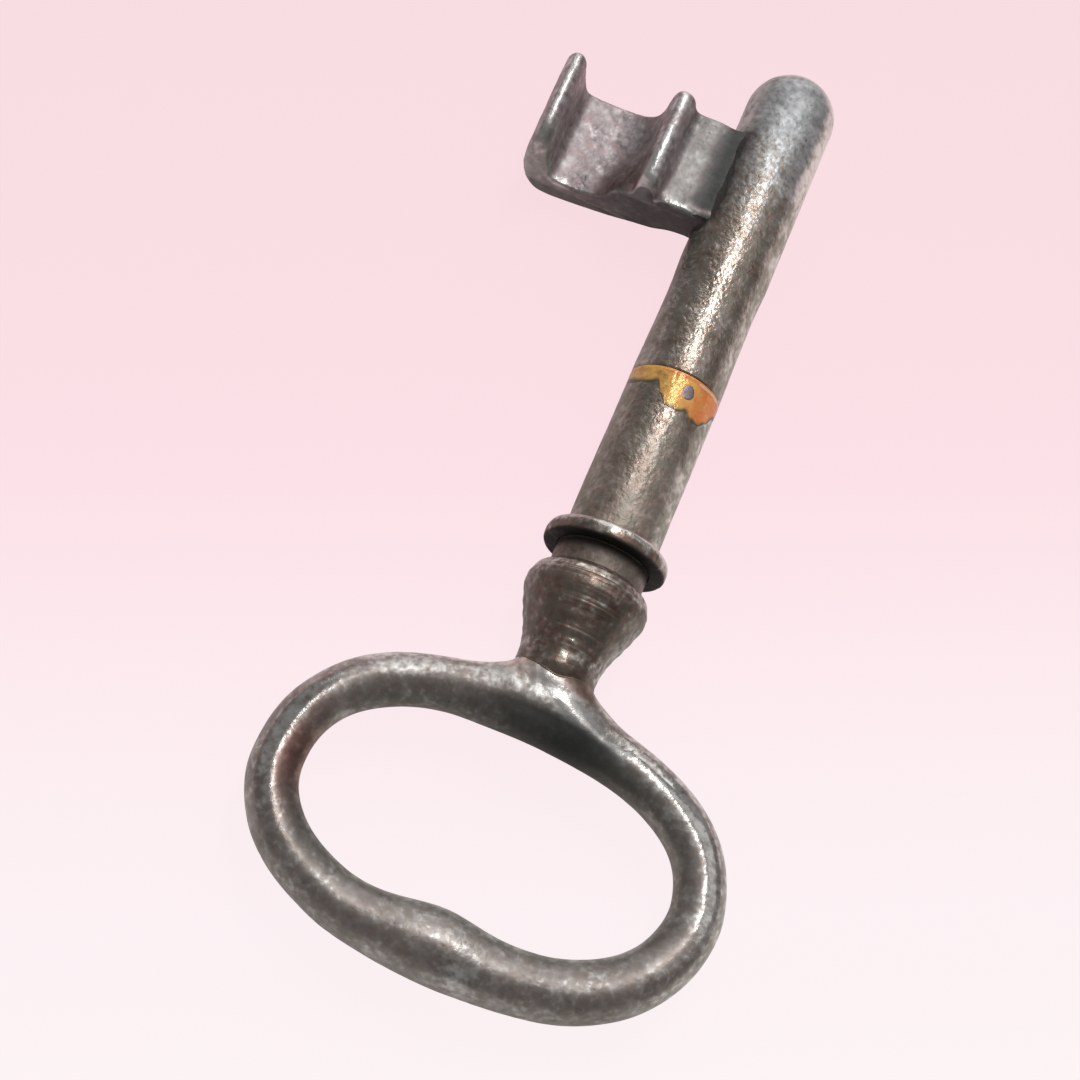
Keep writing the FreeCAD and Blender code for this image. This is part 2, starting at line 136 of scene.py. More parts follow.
def skin(name, rows, slot, material, ends="points", **marks):
    """A closed mesh from a grid of points in millimetres. A row runs once round the piece
    and joins itself; the rows follow one another along it. The ends shrink to a point each,
    are flat faces, or the last row joins the first. The marks are a value for each point."""
    count, around = rows.shape[:2]
    index = np.arange(count * around).reshape(count, around)
    last = index if ends == "joined" else index[:-1]
    following = np.roll(index, -1, axis=0) if ends == "joined" else index[1:]
    turn = lambda ring: np.roll(ring, -1, axis=1)
    sides = np.stack([last, turn(last), turn(following), following], axis=-1).reshape(-1, 4)
    points = rows.reshape(-1, 3)
    a, b, c, d = (points[sides[:, corner]] for corner in range(4))
    volume = (a * (np.cross(b, c) + np.cross(c, d))).sum()
    faces = [sides]
    if ends == "points":
        first_pole, last_pole = len(points), len(points) + 1
        points = np.vstack([points, rows[0].mean(axis=0), rows[-1].mean(axis=0)])
        for pole, ring, way in ((first_pole, index[0], -1), (last_pole, index[-1], 1)):
            fan = np.stack([np.full(around, pole), ring, np.roll(ring, -1)][::way], axis=-1)
            faces.append(fan)
    elif ends == "flat":
        for ring, way in ((0, 1), (-1, -1)):
            face = np.array(tessellate_polygon([[Vector(spot) for spot in rows[ring]]]))
            a, b, c = (rows[ring][face[:, corner]] for corner in range(3))
            facing = np.cross(b - a, c - a).sum(axis=0)
            ahead = (rows[-1].mean(axis=0) - rows[0].mean(axis=0)) * way
            face = face if (facing * ahead).sum() * volume < 0 else face[:, ::-1]
            faces.append(index[ring][face])
    if volume < 0:
        faces = [face[:, ::-1] for face in faces]
    corners = np.concatenate([face.ravel() for face in faces])
    sizes = np.concatenate([np.full(len(face), face.shape[1]) for face in faces])
    mesh = bpy.data.meshes.new(name)
    mesh.vertices.add(len(points))
    mesh.vertices.foreach_set("co", (points * MM).astype(np.float32).ravel())
    mesh.loops.add(len(corners))
    mesh.loops.foreach_set("vertex_index", corners.astype(np.int32))
    mesh.polygons.add(len(sizes))
    mesh.polygons.foreach_set("loop_start", (np.cumsum(sizes) - sizes).astype(np.int32))
    mesh.update(calc_edges=True)
    mesh.validate()
    mesh.shade_smooth()
    for mark, values in marks.items():
        layer = mesh.attributes.new(mark, "FLOAT", "POINT")
        whole = np.zeros(len(points), np.float32)
        whole[: count * around] = values.ravel()
        if ends == "points":
            whole[-2:] = values[0].mean(), values[-1].mean()
        layer.data.foreach_set("value", whole)
    mesh.materials.append(material)
    piece = bpy.data.objects.new(name, mesh)
    bpy.context.scene.collection.objects.link(piece)
    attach(piece, "root")
    return piece


def round_section(places, radii, around):
    """Rings about the shank's axis: a ring at each place along Y, with its radius."""
    angle = circle(around)
    across = spots(np.sin(angle), 0, np.cos(angle))
    return spots(0, places, 0)[:, None] + across * np.asarray(radii)[:, None, None]


def outward(rows):
    """The way out of the shank's axis at each point."""
    return unit(rows * np.array([1, 0, 1]))


def flanks(away):
    """The marks of a round piece's sides, from the way out at each point: how far it takes the
    painted reflection of the pale floor, strongest on the right flank and on the end that
    looks to the tip, and how far the painted shade of the left flank."""
    low_side = ease((0.84 - away[..., 2]) / 0.32)
    right = ease((away[..., 0] + away[..., 1] + 0.2) / 0.5)
    return low_side * (0.45 + 0.45 * right), 0.3 * low_side * (1 - right)


def run_along(profile, steps):
    """Evenly spaced points along an outline, by the length of its sides."""
    profile = np.array(profile, float)
    sides = np.linalg.norm(np.diff(profile, axis=0), axis=1)
    length = np.concatenate([[0], np.cumsum(sides)])
    even = np.linspace(0, length[-1], steps)
    return spots(*(np.interp(even, length, line) for line in profile.T))


def shank_radius(places):
    """The shank's radius along its axis: fullest at the collar, slim at the seam and the
    waist, full again in the barrel, and round like a ball at the tip."""
    along = through(places, [
        (SHOULDER - 10, SHANK_RADIUS), (STOP, SHANK_RADIUS), (BAND_BACK, SEAM_RADIUS),
        (SEAM, SEAM_RADIUS), (BIT_NEAR - 9, WAIST_RADIUS), (BIT_NEAR - 2, BARREL_RADIUS),
        (0, PILOT_RADIUS), (TIP, PILOT_RADIUS),
    ])
    dome = np.clip(places - (TIP - PILOT_RADIUS), 0, PILOT_RADIUS)
    return np.minimum(along, np.sqrt(np.maximum(PILOT_RADIUS**2 - dome**2, 0)))


# Materials


def linear(colour):
    """An sRGB hex colour as linear numbers with alpha."""
    parts = [int(colour[i : i + 2], 16) / 255 for i in (1, 3, 5)]
    return [
        part / 12.92 if part <= 0.04045 else ((part + 0.055) / 1.055) ** 2.4
        for part in parts
    ] + [1.0]


def add(tree, kind, inputs=(), output=None, stops=(), **settings):
    """Adds a node with its settings, its inputs (values or links) and its ramp's stops, and
    gives the output that is asked for, or else the node."""
    node = tree.nodes.new("ShaderNode" + kind)
    for name, value in settings.items():
        setattr(node, name, value)
    for name, value in dict(inputs).items():
        if isinstance(value, bpy.types.NodeSocket):
            tree.links.new(value, node.inputs[name])
        else:
            node.inputs[name].default_value = value
    for number, (place, colour) in enumerate(stops):
        ramp = node.color_ramp.elements
        stop = ramp[number] if number < 2 else ramp.new(place)
        stop.position = place
        stop.color = linear(colour)
    return node if output is None else node.outputs[output]


def spaced(colours):
    """A ramp's stops, with the colours evenly from 0 to 1."""
    return zip(np.linspace(0, 1, len(colours)), colours)


def new_material(name):
    """A material and its node tree, empty."""
    material = bpy.data.materials.new(name)
    material.use_nodes = True
    material.node_tree.nodes.clear()
    return material, material.node_tree


def old_steel(
    name, patina, tint, bright, rough_patina=0.27, rough_bright=0.18, metallic=0.85,
    mottle=0.8, grain=0.5, grain_height=0.04, turning=0.0, scored=0.016, pits=0.27,
    sheltered="#5c5e5a", flank=("#87917f", "#aab4a2", "#f7fdf2"), stained="#d8a79d",
):
    """Steel under an old patina, rubbed back to bare metal where it is handled.

    Its colours: patina holds the oxide's, from dark to light, and tint is the hue that it
    turns to in places; bright holds the bare metal's; sheltered is the colour of dull oxide,
    which also serves as painted shade; flank holds the pale colours of a painted reflection
    of the floor on the sides; stained is the tinge of rust, and of brown painted shade. Its
    sizes are in millimetres: mottle is the width of the patina's fine clouds,
    grain that of the dents of wear and grain_height their depth, turning the spacing of the
    lathe's lines and scored their depth. The mesh's mark "wear" says where the metal is
    rubbed bare, "shelter" where the oxide is dull and dark and where shade is painted,
    "matte" where the metal is only dull (below 0 where it is polished), "rim" where the
    painted reflection of the floor lies on the flanks, and "stain" where rust or brown
    painted shade tinges the oxide.
    """
    blotch, speck = 2.6, "#3b312b"  # the width of the coarse clouds, and the pits' colour
    material, tree = new_material(name)
    place = add(tree, "TexCoord", output="Object")
    wear, shelter, matte, rim, stain = (
        add(tree, "Attribute", output="Fac", attribute_name=mark)
        for mark in ("wear", "shelter", "matte", "rim", "stain")
    )
    at = lambda width, detail: {"Vector": place, "Scale": 1 / (width * MM), "Detail": detail}
    clouds = add(tree, "TexNoise", at(blotch, 2.0), "Fac")
    patches = add(tree, "TexNoise", at(mottle, 2.5), "Fac")
    dents = add(tree, "TexNoise", at(grain, 2.5), "Fac")
    aside = add(tree, "VectorMath", {0: place, 1: (0.37, 0.11, 0.23)}, "Vector", operation="ADD")
    hues = add(tree, "TexNoise", {**at(0.5 * blotch, 2.0), "Vector": aside}, "Fac")
    soft_step = {"output": "Result", "interpolation_type": "SMOOTHSTEP"}
    hue_range = {"Value": hues, "From Min": 0.42, "From Max": 0.66, "To Max": 0.7}
    turned_hue = add(tree, "MapRange", hue_range, **soft_step)
    both = add(tree, "Math", {0: clouds, 1: patches}, 0, operation="ADD")
    spread = add(tree, "MapRange", {"Value": both, "From Min": 0.62, "From Max": 1.38}, "Result")
    rubbed = wear
    for noise, weight in ((patches, 1.2), (dents, 0.6)):
        rubbed = add(tree, "Math", {0: noise, 1: weight, 2: rubbed}, 0, operation="MULTIPLY_ADD")
    bare_range = {"Value": rubbed, "From Min": 1.25, "From Max": 1.85}
    bare = add(tree, "MapRange", bare_range, **soft_step)
    pit_range = {"Value": dents, "From Min": pits + 0.04, "From Max": pits - 0.06, "To Max": 0.6}
    pit = add(tree, "MapRange", pit_range, **soft_step)
    clean = add(tree, "ValToRGB", {"Fac": spread}, "Color", spaced(bright))
    side = add(tree, "Math", {0: wear, 1: 0.45, 2: spread}, 0, operation="MULTIPLY_ADD")
    side = add(tree, "ValToRGB", {"Fac": side}, "Color", zip((0.12, 0.57, 1.0), flank))
    # Each layer covers those before it by its own share.
    colour = add(tree, "ValToRGB", {"Fac": spread}, "Color", spaced(patina))
    # Of these layers, the pale side colours are a painted reflection of the floor, the dark one is
    # dull oxide and painted shade, and the tinge after them is rust and brown painted shade.
    for share, over in (
        (turned_hue, linear(tint)), (bare, clean), (pit, linear(speck)), (rim, side),
        (shelter, linear(sheltered)),
    ):
        colour = add(tree, "Mix", {0: share, 6: colour, 7: over}, 2, data_type="RGBA")
    tinged = {0: stain, 6: colour, 7: linear(stained)}
    colour = add(tree, "Mix", tinged, 2, data_type="RGBA", blend_type="MULTIPLY")
    dull = {"Value": bare, "To Min": rough_patina, "To Max": rough_bright}
    dull = add(tree, "MapRange", dull, "Result")
    for mark, more in ((shelter, 0.26), (matte, 0.3)):
        dull = add(tree, "Math", {0: mark, 1: more, 2: dull}, 0, operation="MULTIPLY_ADD")
    dented = {"Value": matte, "From Min": -0.5, "From Max": 0.0, "To Min": 0.1}
    dented = add(tree, "MapRange", dented, "Result")
    relief = {}
    for height, depth in ((dents, grain_height), (patches, 1.1 * grain_height)):
        bump = {**relief, "Strength": dented, "Height": height, "Distance": depth * MM}
        relief = {"Normal": add(tree, "Bump", bump, "Normal")}
    if turning:
        lines = add(tree, "Mapping", {"Vector": place, "Scale": (0.06, 1.0, 0.06)}, "Vector")
        lines = add(tree, "TexNoise", {**at(turning, 1.0), "Vector": lines}, "Fac")
        bump = {**relief, "Height": lines, "Distance": scored * MM}
        relief = {"Normal": add(tree, "Bump", bump, "Normal")}
    surface = {"Base Color": colour, "Roughness": dull, "Metallic": metallic, **relief}
    add(tree, "OutputMaterial", {"Surface": add(tree, "BsdfPrincipled", surface, "BSDF")})
    return material


# All five are carbon steel; they differ in how they were made, kept and rubbed. The colours
# are those of the metal's reflection, so they are lighter than it looks under a dim sky. The
# dark colour that each gives for dull oxide also serves as painted shade, and the pale flank
# colours are a painted reflection of the floor on the sides.

# Forged and then worn by hands: grey brown, with bright crests.
FORGED = old_steel(
    "forged_steel_patina", ["#877e7a", "#9f9591", "#b0a7a2", "#c4bdb9"], "#9c8e85",
    ["#aaa5a0", "#cfcbc7", "#e8e6e3"], rough_patina=0.28, grain_height=0.022, sheltered="#4d4f4b",
)
# Turned and little handled: dark brown in the lines that the tool left.
TURNED = old_steel(
    "turned_steel_patina", ["#66524a", "#80695f", "#957f75", "#ac9b91"], "#7a766c",
    ["#a89e96", "#ccc5bd", "#ece7e1"], rough_patina=0.4, rough_bright=0.22, grain_height=0.04,
    turning=0.35, sheltered="#34332f",
)
# Turned and filed smooth: warm brown, grey where the lock rubbed it.
SHANK = old_steel(
    "shank_steel_patina", ["#7b6a5f", "#9b8a7f", "#ac9d94", "#bdb1aa"], "#928e83",
    ["#8d8e91", "#b0b1b2", "#dcdcdb"], rough_bright=0.24, grain_height=0.08, turning=0.5,
    scored=0.006, sheltered="#453f3a",
)
# Filed to shape and dented: a dull pinkish grey with pale edges.
FILED = old_steel(
    "filed_steel_patina", ["#786f71", "#9e9496", "#b9afaf", "#d2caca"], "#ab9594",
    ["#bdb8b6", "#e4e1de"], rough_patina=0.52, rough_bright=0.3, metallic=0.75, mottle=0.9,
    grain=0.4, grain_height=0.05, pits=0.26, sheltered="#5c605c",
    flank=("#929790", "#aeb4ac", "#ccd1c9"), stained="#d9b8ae",
)
# A wire's end filed flush: an even mauve grey.
PIN = old_steel(
    "pin_steel_filed", ["#857a80", "#93888e", "#a3999f"], "#9a8f94", ["#9a9196", "#b0a7ac"],
    rough_patina=0.42,
)


def brazing_metal(name, stops, edge, metallic, roughness):
    """Brazing metal, a copper and zinc alloy melted into a joint. Its colours are stops
    along its tone and, where it thins out over the steel, the edge's two. Its patches are
    0.9 mm wide and its grain 0.4 mm. The mesh's mark "tone" says where on the stops it is,
    and "thin" is 1 where it has run out."""
    material, tree = new_material(name)
    place = add(tree, "TexCoord", output="Object")
    at = lambda width: {"Vector": place, "Scale": 1 / (width * MM)}
    patches = add(tree, "TexNoise", {**at(0.9), "Detail": 3.0, "Roughness": 0.6}, "Fac")
    grain = add(tree, "TexNoise", {**at(0.4), "Detail": 2.0}, "Fac")
    shift = add(tree, "MapRange", {"Value": patches, "To Min": -0.45, "To Max": 0.45}, "Result")
    varied, ragged = (
        add(tree, "Math", {0: mark, 1: shift}, 0, operation="ADD")
        for mark in (
            add(tree, "Attribute", output="Fac", attribute_name=name) for name in ("tone", "thin")
        )
    )
    clean = add(tree, "ValToRGB", {"Fac": varied}, "Color", stops)
    run_out = add(
        tree, "MapRange", {"Value": ragged, "From Min": 0.2, "From Max": 0.9}, "Result",
        interpolation_type="SMOOTHSTEP",
    )
    fringe = add(tree, "ValToRGB", {"Fac": run_out}, "Color", zip((0.3, 1.0), edge))
    colour = add(tree, "Mix", {0: run_out, 6: clean, 7: fringe}, 2, data_type="RGBA")
    relief = add(tree, "Bump", {"Height": grain, "Distance": 0.06 * MM}, "Normal")
    relief = {"Height": patches, "Distance": 0.05 * MM, "Normal": relief}
    surface = {
        "Base Color": colour, "Roughness": roughness, "Metallic": metallic,
        "Normal": add(tree, "Bump", relief, "Normal"),
    }
    add(tree, "OutputMaterial", {"Surface": add(tree, "BsdfPrincipled", surface, "BSDF")})
    return material


# Filed clean: bright orange from ochre to deep, olive where it thins out, and pale where it is a
# painted highlight along the lip by the seam.
SEAM_BRAZE = brazing_metal(
    "seam_braze",
    [
        (0.0, "#94794b"), (0.2, "#dba65c"), (0.42, "#ffc66c"), (0.62, "#ffab5e"), (0.85, "#ff8c4e"),
        (1.0, "#ffdab8"),
    ],
    ("#a08650", "#5f5947"),
    0.16,
    0.24,
)
# Left as it set, under oxide: dull dark brown, which also serves as painted shade in the corners of
# the root.
SHADED_ROOT_BRAZE = brazing_metal(
    "root_braze", [(0.0, "#3f3c3a"), (0.45, "#4a4541"), (1.0, "#66564a")], ("#5c4f44", "#4a4540"),
    0.3, 0.5,
)
# Turned down with the steel beside it: brown, golden on the right.
FOOT_BRAZE = brazing_metal(
    "foot_braze", [(0.0, "#75665d"), (0.45, "#8a766a"), (1.0, "#b5875f")], ("#75665d", "#75665d"),
    0.7, 0.4,
)


# Shank


def make_front_shank():
    """The front length as rings along an outline: up the flat end at the seam, along the
    barrel and round the ball of the tip, with old unevenness added outwards."""
    straight = np.linspace(SEAM + 0.12, TIP - PILOT_RADIUS, 270)
    swing = np.linspace(0, np.pi / 2, 60)[1:-1]
    dome = TIP - PILOT_RADIUS + PILOT_RADIUS * np.sin(swing)
    places = np.concatenate([[SEAM, SEAM + 0.04], straight, dome])
    radii = shank_radius(places)
    radii[:2] = SEAM_RADIUS - 0.35, SEAM_RADIUS - 0.10
    rows = round_section(places, radii, 280)
    away = outward(rows)
    fade = ease((radii - 1) / 3)[:, None, None]
    rows = rows + away * fade * rough(rows, 11, 0.035, 0.012, 0.03)[..., None]
    x, y, z = np.moveaxis(rows, -1, 0)
    wear = through(y, [(SEAM, 0.3), (BIT_NEAR, 0.36), (-3, 0.7), (5, 1.05), (TIP, 1.1)])
    wear = wear + 0.12 * hills(rows, 5.0, 15)
    rise = np.clip((places - TIP + PILOT_RADIUS) / PILOT_RADIUS, 0, 1)[:, None, None]
    # The rim is a painted reflection of the pale floor on the flanks and on the tip's end, and the
    # left flank and the barrel beside the bit's root get painted shade.
    rim, shelter = flanks(away * np.sqrt(1 - rise**2) + rise * np.array([0, 1, 0]))
    shade_beside_bit = ease((y - BIT_NEAR + 1.0) / 1.5) * ease((1.0 - y) / 1.5)
    shade_beside_bit = shade_beside_bit * ease((5.25 - z) / 1.5) * (x < 0)
    shelter = np.maximum(shelter, 0.8 * shade_beside_bit)
    matte = [(SEAM, 0.1), (-22, -0.05), (-16, 0.1), (-8, 0.3), (-2, 0.85), (TIP, 1.35)]
    matte = through(y, matte)
    polished = 0.45 * ease((y + 7) / 6)
    return skin(
        "front_shank_steel", rows, "shank_steel", SHANK, wear=wear, shelter=shelter, rim=rim,
        matte=matte * (1 - rim) - polished * rim,
    )


def rear_unevenness(points):
    """How far the old surface of the rear length stands off its true round."""
    return rough(points, 21, 0.03, 0.012, 0.03)


def make_rear_shank():
    """The rear length as rings along the axis, from inside the baluster to the seam."""
    places = np.concatenate(
        [[SHOULDER - 5.4], np.linspace(SHOULDER - 5.3, SEAM - 0.12, 230), [SEAM - 0.04, SEAM]]
    )
    radii = shank_radius(places)
    radii[0] -= 0.3
    radii[-2:] = SEAM_RADIUS - 0.10, SEAM_RADIUS - 0.30
    radii = np.where(places < SHOULDER - 0.4, TENON_RADIUS, radii)
    rows = round_section(places, radii, 280)
    away = outward(rows)
    rows = rows + away * rear_unevenness(rows)[..., None]
    wear = 0.2 + 0.15 * hills(rows, 5.0, 25)
    # A painted reflection on the flanks and painted shade on the left flank; behind the collar a
    # painted shadow of the collar darkens the neck, most in the corner, and takes the reflection
    # away.
    rim, shelter = flanks(away)
    y = rows[..., 1]
    neck = ease((COLLAR_BACK - y + 0.2) / 0.4)
    corner = ease((y - COLLAR_BACK + 1.7) / 1.5)
    shelter = np.maximum(shelter, neck * (0.22 + 0.78 * corner))
    rim = rim * (1 - 0.9 * neck)
    matte = through(y, [(STOP, 0.9), (STOP + 9, 0.5), (SEAM - 6, 0.2), (SEAM, 0.05)])
    return skin(
        "rear_shank_steel", rows, "shank_steel", SHANK, wear=wear, shelter=shelter, rim=rim,
        matte=matte * (1 - rim),
    )


def make_seam_braze():
    """The brazing metal at the seam: a skin a few hundredths of a millimetre proud of the
    shank. Its rear edge wanders and sinks into the steel. Seen from above it reaches far
    back in a lobe at the middle and a longer one on the right, and steel shows through in
    a notch on the left."""
    around = 360
    angle = circle(around)
    off = lambda middle: np.angle(np.exp(1j * (angle - middle)))
    reach = through(off(0), [
        (-3.2, 1.8), (-1.6, 1.6), (-1.1, 2.3), (-0.65, 2.3), (-0.45, 1.9), (-0.28, 3.5),
        (-0.1, 4.6), (0.12, 4.7), (0.32, 4.1), (0.52, 4.75), (0.75, 4.75), (1.0, 3.7), (1.25, 2.2),
        (1.6, 1.6), (3.2, 1.8),
    ])
    ring = round_section(np.array([SEAM]), [SEAM_RADIUS], around)[0]
    reach = reach + 0.2 * hills(ring, 1.6, 31) + 0.15 * hills(ring, 0.7, 32)
    reach = np.minimum(reach, 4.75)
    share = np.linspace(0, 1, 90)[:, None]
    places = SEAM - 0.05 - share * (reach + 0.8)
    lift = 0.042 * ease((reach + 0.6 - (SEAM - places)) / 0.7) - 0.026
    lift = lift + 0.008 * hills(spots(ring[:, 0], places, ring[:, 2]), 0.9, 33)
    lip = bell(SEAM - 0.42 - places, 0.2)
    plain = shank_radius(places)
    steel = spots(np.sin(angle) * plain, places, np.cos(angle) * plain)
    radii = plain + rear_unevenness(steel) + lift + 0.02 * lip
    radii[0] = SEAM_RADIUS - 0.08
    outer = spots(np.sin(angle) * radii, places, np.cos(angle) * radii)
    inner = outer * np.array([0.955, 1, 0.955])
    rows = np.concatenate([outer, inner[::-1]])
    back = SEAM - places
    tone = 0.24 + 0.2 * ease(off(-0.42) / 0.3) + 0.27 * ease(off(0.2) / 0.4)
    # Along the lip by the seam the tone runs up to the palest stop, a painted highlight.
    tone = np.broadcast_to(tone, places.shape) + 0.4 * lip * ease(off(-0.4) / 0.6 + 1)
    thin = ease((back - reach + 0.95) / 1.35) + 0.28 * ease((-0.7 - off(0)) / 0.5)
    return skin(
        "seam_braze_skin", rows, "seam_braze", SEAM_BRAZE, "joined",
        tone=np.concatenate([tone, tone[::-1]]), thin=np.concatenate([thin, thin[::-1]]),
    )


def make_cross_pin():
    """The pin as rings along its own axis, a little oval, its ends filed to the round of
    the shank and a hair proud, with a fine dark groove round them."""
    end = SEAM_RADIUS + 0.06
    lean = math.radians(15)
    middle = (low["cross_pin"][1] + high["cross_pin"][1]) / 2
    shares = np.array([0.02, 0.4, 0.75, 0.93, 1.0, 1.0, 0.98])
    depth = np.array([0.0, 0.0, 0.0, 0.004, 0.05, 0.6, 1.5])
    top = spots(shares, end - depth)
    bottom = spots(shares, depth - end)[::-1]
    profile = np.concatenate([top, bottom])
    angle = circle(96)
    oval = spots(0.74 * np.cos(angle), 0.92 * np.sin(angle))
    oval = oval * (1 + 0.03 * np.cos(3 * angle + 1))[:, None]
    across, along = profile[:, :1] * oval[:, 0], profile[:, :1] * oval[:, 1]
    drop = across**2 / (2 * SEAM_RADIUS) * np.sign(profile[:, 1:])
    up = np.broadcast_to(profile[:, 1:], across.shape) - drop
    rows = spots(
        across * math.cos(lean) + up * math.sin(lean), middle + along,
        up * math.cos(lean) - across * math.sin(lean),
    )
    wear = np.full(across.shape, 0.1)
    return skin("cross_pin_steel", rows, "pin_steel", PIN, wear=wear)


# Collar and baluster


def make_collar():
    """The stop ring: a closed outline of bore, worn front edge, rim and back, turned about
    the axis, with small nicks along the rim."""
    bore = SHANK_RADIUS - 0.05
    rim = COLLAR_RADIUS
    outline = [
        (bore, COLLAR_BACK), (rim - 0.35, COLLAR_BACK), (rim - 0.1, COLLAR_BACK + 0.12),
        (rim, COLLAR_BACK + 0.42), (rim + 0.02, COLLAR_BACK + 0.95),
        (rim - 0.03, COLLAR_BACK + 1.4), (rim - 0.2, COLLAR_BACK + 1.75),
        (rim - 0.5, COLLAR_BACK + 2.0), (rim - 0.9, STOP - 0.04), (SHANK_RADIUS + 0.25, STOP),
        (bore, STOP + 0.12), (bore, COLLAR_BACK),
    ]
    smooth = run_along(outline, 97)[:-1]
    for _ in range(3):
        smooth[6:-8] = (smooth[5:-9] + 2 * smooth[6:-8] + smooth[7:-7]) / 4
    rows = round_section(smooth[:, 1], smooth[:, 0], 360)
    outer = ease((smooth[:, 0] - bore - 0.5) / 0.6)[:, None]
    push = outer * rough(rows, 41, 0.05, 0.03, 0.05)
    rows = rows + outward(rows) * push[..., None]
    edge = bell(smooth[:, 1] - (STOP - 0.55), 0.5)[:, None] * outer
    wear = 0.35 + 0.75 * edge + 0.4 * hills(rows, 1.3, 45)
    # The back face that looks to the bow is darkened as painted shade, the left side too, and the
    # sides take a faint painted reflection.
    back = ease((COLLAR_BACK + 0.5 - smooth[:, 1]) / 0.45)[:, None]
    rim, left = flanks(outward(rows))
    shelter = np.maximum(back, left)
    return skin(
        "collar_steel", rows, "turned_steel", TURNED, "joined", wear=wear, shelter=shelter,
        rim=0.35 * rim * (1 - back),
    )


def foot_radius(places):
    """The baluster's radius at its foot, rounded over as it goes down onto the bow."""
    return FOOT_RADIUS - 0.42 * ease((FOOT - places) / FOOT_ROUND)


def stem_halves(down):
    """Half the width and half the thickness of the bow's stem, at distances down from the
    foot: inside the baluster above the joint, outside it below, and spreading sideways."""
    wide = FOOT_RADIUS - 0.45 * (1 - ease((down + 0.25) / 0.35)) + 3.5 * ease(down / 3.2)
    thick = FOOT_RADIUS - 0.39 - 0.3 * ease((down - 1.4) / 1.8) - 0.5 * ease((down - 3) / 2.5)
    return wide, thick


SADDLE = FOOT - 0.25


def make_baluster():
    """The baluster as rings along its outline: crown, belly, taper and foot, with the
    lathe's rings cut as shallow grooves, and its end rounded down onto the bow."""
    foot_end = FOOT - FOOT_ROUND
    places = np.linspace(SHOULDER + 0.1, foot_end, 300)
    stations = [
        (SHOULDER + 0.1, SHANK_RADIUS - 0.1), (SHOULDER - 0.7, 6.62), (SHOULDER - 2.0, 7.06),
        (SHOULDER - 2.9, 7.05), (SHOULDER - 4.6, 6.5), (SHOULDER - 6.0, 5.95),
        (SHOULDER - 7.4, 5.38), (SHOULDER - 8.8, 4.93), (SHOULDER - 10.2, 4.66),
        (FOOT, FOOT_RADIUS), (foot_end - 0.5, FOOT_RADIUS),
    ]
    outline = through(places, sorted(stations))
    for _ in range(40):
        outline[1:-1] = (outline[:-2] + 2 * outline[1:-1] + outline[2:]) / 4
    outline = outline + foot_radius(places) - FOOT_RADIUS
    places = np.concatenate([[SHOULDER + 0.12], places, [foot_end - 0.05]])
    outline = np.concatenate([[SHANK_RADIUS - 0.6], outline, [FOOT_RADIUS - 0.8]])
    rows = round_section(places, outline, 300)
    away = outward(rows)
    rows = rows + away * rough(rows, 51, 0.022, 0.014, 0.02)[..., None]
    right = 0.3 + 0.7 * bell(np.arctan2(away[..., 0], away[..., 2]) - 0.3, 0.5)
    for down, depth, width, even in (
        (1.55, 0.09, 0.16, 1), (2.3, 0.03, 0.16, 1), (3.3, 0.02, 0.13, 0), (4.2, 0.025, 0.12, 0),
        (4.7, 0.03, 0.12, 0), (5.15, 0.025, 0.12, 0), (5.6, 0.02, 0.12, 0), (7.6, 0.05, 0.2, 1),
        (9.4, 0.02, 0.2, 1),
    ):
        cut = depth * bell(rows[..., 1] - (SHOULDER - down), width)
        rows = rows - away * (cut * np.maximum(right, even))[..., None]
    crown = bell(places - (SHOULDER - 1.2), 1.0)[:, None]
    front = bell(places - (FOOT + 1.25), 1.3)[:, None]
    wear = 0.25 + 0.45 * crown + 0.3 * front + 0.2 * hills(rows, 2.2, 55)
    # A painted reflection on the flanks, strongest at the edges seen from above, and painted shade
    # on the left flank and, lighter, on the right.
    rim, shelter = flanks(away)
    edge = ease((0.45 - away[..., 2]) / 0.35)
    return skin(
        "baluster_steel", rows, "turned_steel", TURNED, wear=wear,
        shelter=np.maximum(1.2 * shelter, 0.25 * ease(away[..., 0] / 0.5)),
        rim=rim * (0.35 + 0.6 * edge), matte=-0.3 * np.broadcast_to(front, wear.shape),
    )


def make_bow_braze():
    """The thin line of brazing metal round the baluster's foot: a fine bead along the line
    where the bow's stem comes out of the baluster, with a thickness that wanders."""
    angle = circle(400)
    down = np.linspace(-0.4, 1.6, 400)[:, None]
    wide, thick = stem_halves(down)
    stem = 1 / np.hypot(np.sin(angle) / wide, np.cos(angle) / thick)
    crossed = stem > foot_radius(SADDLE - down)
    first = np.where(crossed.any(axis=0), crossed.argmax(axis=0), 399)
    place = SADDLE - down[first, 0]
    for _ in range(30):
        place = (np.roll(place, 1) + 2 * place + np.roll(place, -1)) / 4
    radius = foot_radius(place) - 0.06
    centre = spots(radius * np.sin(angle), place, radius * np.cos(angle))
    bead = 0.10 + 0.05 * hills(centre, 1.1, 61)
    out = spots(np.sin(angle), 0, np.cos(angle))
    up = np.array([0, 1, 0])
    swing = circle(16)
    rows = centre[:, None] + bead[:, None, None] * (
        np.cos(swing)[:, None] * out[:, None] + 1.3 * np.sin(swing)[:, None] * up
    )
    warm = bell(np.angle(np.exp(1j * (angle - 0.5))), 0.5)
    tone = np.broadcast_to((0.6 * warm)[:, None], rows.shape[:2])
    return skin(
        "bow_braze_line", rows, "root_braze", FOOT_BRAZE, "joined", tone=tone, thin=0 * tone
    )


# Bow

# The bar's middle follows an oval squarer than an ellipse, of this power.
OVAL_POWER = 2.38
HALF_WIDTH = 23.45
UPPER_REACH = 14.1
LOWER_REACH = 13.3
BOW_CENTRE = -89.5

# The corners of the ridge on the saddle, in X and Y.
RIDGE = np.array([(-0.9, -71.9), (5.2, -75.2), (9.3, -76.5)])


